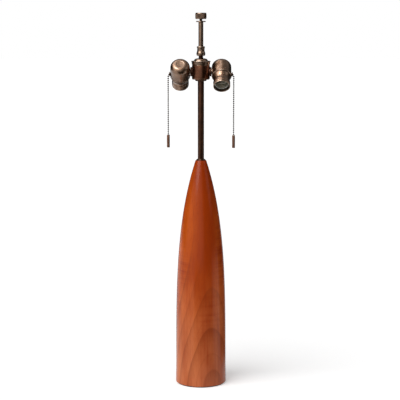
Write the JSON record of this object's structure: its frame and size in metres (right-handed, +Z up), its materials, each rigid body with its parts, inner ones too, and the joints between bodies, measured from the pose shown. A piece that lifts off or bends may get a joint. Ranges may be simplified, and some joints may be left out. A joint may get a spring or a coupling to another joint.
{
  "type": "table lamp base",
  "caption": "Turned wood table lamp base with a two-way cluster, tilting pull-chain lamp holders, a riser rod and a knurled finial that takes a shade.",
  "frame": {"origin": "centre of the base's underside, on the table", "axes": "+Z up the lamp's stem, +X towards the right-hand lamp holder, -Y towards the front"},
  "size_m": [0.1386, 0.1042, 0.762],
  "materials": {
    "turned_wood": "satin oiled",
    "antique_bronze": "satin patina",
    "dark_bronze": "satin patina",
    "zinc_steel": "satin",
    "screw_aluminium": "satin",
    "phenolic": "matte",
    "fibre_board": "matte",
    "chain_brass": "satin aged",
    "contact_brass": "satin",
    "lead_cover": "matte",
    "felt": "matte"
  },
  "bodies": {
    "root": {"felt_pad": "felt", "wood_body": "turned_wood", "lamp_pipe": "zinc_steel", "pipe_washer": "zinc_steel", "pipe_nut": "zinc_steel", "cord_bushing": "phenolic", "check_ring": "dark_bronze", "neck_tube": "dark_bronze", "cluster_seat": "dark_bronze", "cluster_cup": "antique_bronze", "pipe_locknut": "zinc_steel", "side_arms": "dark_bronze", "arm_locknuts": "zinc_steel", "arm_collars": "dark_bronze", "arm_ring_nuts": "zinc_steel", "wire_connectors": "phenolic", "cluster_leads": "lead_cover", "cluster_cover": "antique_bronze", "cover_locknut": "zinc_steel", "riser_nipple": "dark_bronze", "coupling": "antique_bronze", "riser_rod": "antique_bronze", "finial_stud": "contact_brass", "shade_washer": "antique_bronze"},
    "finial": {"finial": "antique_bronze"},
    "left_socket": {"left_cap": "antique_bronze", "left_shell": "antique_bronze", "left_liner": "fibre_board", "left_screw_shell": "screw_aluminium", "left_socket_block": "phenolic", "left_centre_contact": "contact_brass", "left_terminal_screws": "contact_brass", "left_socket_leads": "lead_cover", "left_lever_spring": "zinc_steel"},
    "left_lever": {"left_pull_lever": "zinc_steel"},
    "left_inner_chain": {"left_inner_chain": "chain_brass"},
    "left_bell": {"left_chain_bell": "dark_bronze"},
    "left_bend_bead_a": {"left_bend_bead_a": "chain_brass"},
    "left_bend_bead_b": {"left_bend_bead_b": "chain_brass"},
    "left_top_bead": {"left_top_bead": "chain_brass"},
    "left_chain": {"left_bead_chain": "chain_brass", "left_chain_pull": "dark_bronze"},
    "right_socket": {"right_cap": "antique_bronze", "right_shell": "antique_bronze", "right_liner": "fibre_board", "right_screw_shell": "screw_aluminium", "right_socket_block": "phenolic", "right_centre_contact": "contact_brass", "right_terminal_screws": "contact_brass", "right_socket_leads": "lead_cover", "right_lever_spring": "zinc_steel"},
    "right_lever": {"right_pull_lever": "zinc_steel"},
    "right_inner_chain": {"right_inner_chain": "chain_brass"},
    "right_bell": {"right_chain_bell": "dark_bronze"},
    "right_bend_bead_a": {"right_bend_bead_a": "chain_brass"},
    "right_bend_bead_b": {"right_bend_bead_b": "chain_brass"},
    "right_top_bead": {"right_top_bead": "chain_brass"},
    "right_chain": {"right_bead_chain": "chain_brass", "right_chain_pull": "dark_bronze"}
  },
  "joints": [
    {"name": "finial_turn", "type": "hinge", "parent": "root", "child": "finial", "pos_m": [0, 0, 0.7494], "axis": [0, 0, 1], "continuous": true},
    {"name": "left_socket_swivel", "type": "hinge", "parent": "root", "child": "left_socket", "pos_m": [-0.0418, 0, 0.644], "axis": [-1, 0, 0], "range_deg": [-45, 45]},
    {"name": "left_bell_turn", "type": "hinge", "parent": "left_socket", "child": "left_bell", "pos_m": [-0.0619, 0.0053, 0.6387], "axis": [-1, 0, 0], "range_deg": [-45.5, 45.5]},
    {"name": "left_chain_pull_slide", "type": "slide", "parent": "left_bell", "child": "left_top_bead", "axis": [0, 0, -1], "range_m": [0, 0.0054], "stiffness_N_per_m": 1500, "springref_m": -0.004},
    {"name": "left_chain_swing", "type": "hinge", "parent": "left_top_bead", "child": "left_chain", "pos_m": [-0.0663, 0.0053, 0.6342], "axis": [0, 1, 0], "range_deg": [-10, 25]},
    {"name": "left_inner_chain_slide", "type": "slide", "parent": "left_socket", "child": "left_inner_chain", "axis": [-1, 0, 0], "range_m": [0, 0.0055]},
    {"name": "left_lever_turn", "type": "hinge", "parent": "left_socket", "child": "left_lever", "pos_m": [-0.05208, 0.01339, 0.64126], "axis": [0, 0.7071, -0.7071], "range_deg": [0, 39.95]},
    {"name": "left_bend_bead_a_turn", "type": "hinge", "parent": "left_bell", "child": "left_bend_bead_a", "pos_m": [-0.06124, 0.0053, 0.63296], "axis": [0, -1, 0], "range_deg": [0, 53.52]},
    {"name": "left_bend_bead_b_turn", "type": "hinge", "parent": "left_bell", "child": "left_bend_bead_b", "pos_m": [-0.06057, 0.0053, 0.63363], "axis": [0, -1, 0], "range_deg": [0, 53.5]},
    {"name": "right_socket_swivel", "type": "hinge", "parent": "root", "child": "right_socket", "pos_m": [0.0418, 0, 0.644], "axis": [1, 0, 0], "range_deg": [-45, 45]},
    {"name": "right_bell_turn", "type": "hinge", "parent": "right_socket", "child": "right_bell", "pos_m": [0.0619, -0.0053, 0.6387], "axis": [1, 0, 0], "range_deg": [-45.5, 45.5]},
    {"name": "right_chain_pull_slide", "type": "slide", "parent": "right_bell", "child": "right_top_bead", "axis": [0, 0, -1], "range_m": [0, 0.0054], "stiffness_N_per_m": 1500, "springref_m": -0.004},
    {"name": "right_chain_swing", "type": "hinge", "parent": "right_top_bead", "child": "right_chain", "pos_m": [0.0663, -0.0053, 0.6342], "axis": [0, -1, 0], "range_deg": [-10, 25]},
    {"name": "right_inner_chain_slide", "type": "slide", "parent": "right_socket", "child": "right_inner_chain", "axis": [1, 0, 0], "range_m": [0, 0.0055]},
    {"name": "right_lever_turn", "type": "hinge", "parent": "right_socket", "child": "right_lever", "pos_m": [0.05208, -0.01339, 0.64126], "axis": [0, -0.7071, -0.7071], "range_deg": [0, 39.95]},
    {"name": "right_bend_bead_a_turn", "type": "hinge", "parent": "right_bell", "child": "right_bend_bead_a", "pos_m": [0.06124, -0.0053, 0.63296], "axis": [0, 1, 0], "range_deg": [0, 53.52]},
    {"name": "right_bend_bead_b_turn", "type": "hinge", "parent": "right_bell", "child": "right_bend_bead_b", "pos_m": [0.06057, -0.0053, 0.63363], "axis": [0, 1, 0], "range_deg": [0, 53.5]}
  ],
  "couplings": [
    {"joint": "left_bell_turn", "follows": "left_socket_swivel", "ratio": -1},
    {"joint": "left_inner_chain_slide", "follows": "left_chain_pull_slide", "ratio": 1},
    {"joint": "left_lever_turn", "follows": "left_chain_pull_slide", "rad_per_m": 127.5},
    {"joint": "left_bend_bead_a_turn", "follows": "left_chain_pull_slide", "rad_per_m": 171.36},
    {"joint": "left_bend_bead_b_turn", "follows": "left_chain_pull_slide", "rad_per_m": 171.3},
    {"joint": "right_bell_turn", "follows": "right_socket_swivel", "ratio": -1},
    {"joint": "right_inner_chain_slide", "follows": "right_chain_pull_slide", "ratio": 1},
    {"joint": "right_lever_turn", "follows": "right_chain_pull_slide", "rad_per_m": 127.5},
    {"joint": "right_bend_bead_a_turn", "follows": "right_chain_pull_slide", "rad_per_m": 171.36},
    {"joint": "right_bend_bead_b_turn", "follows": "right_chain_pull_slide", "rad_per_m": 171.3}
  ]
}
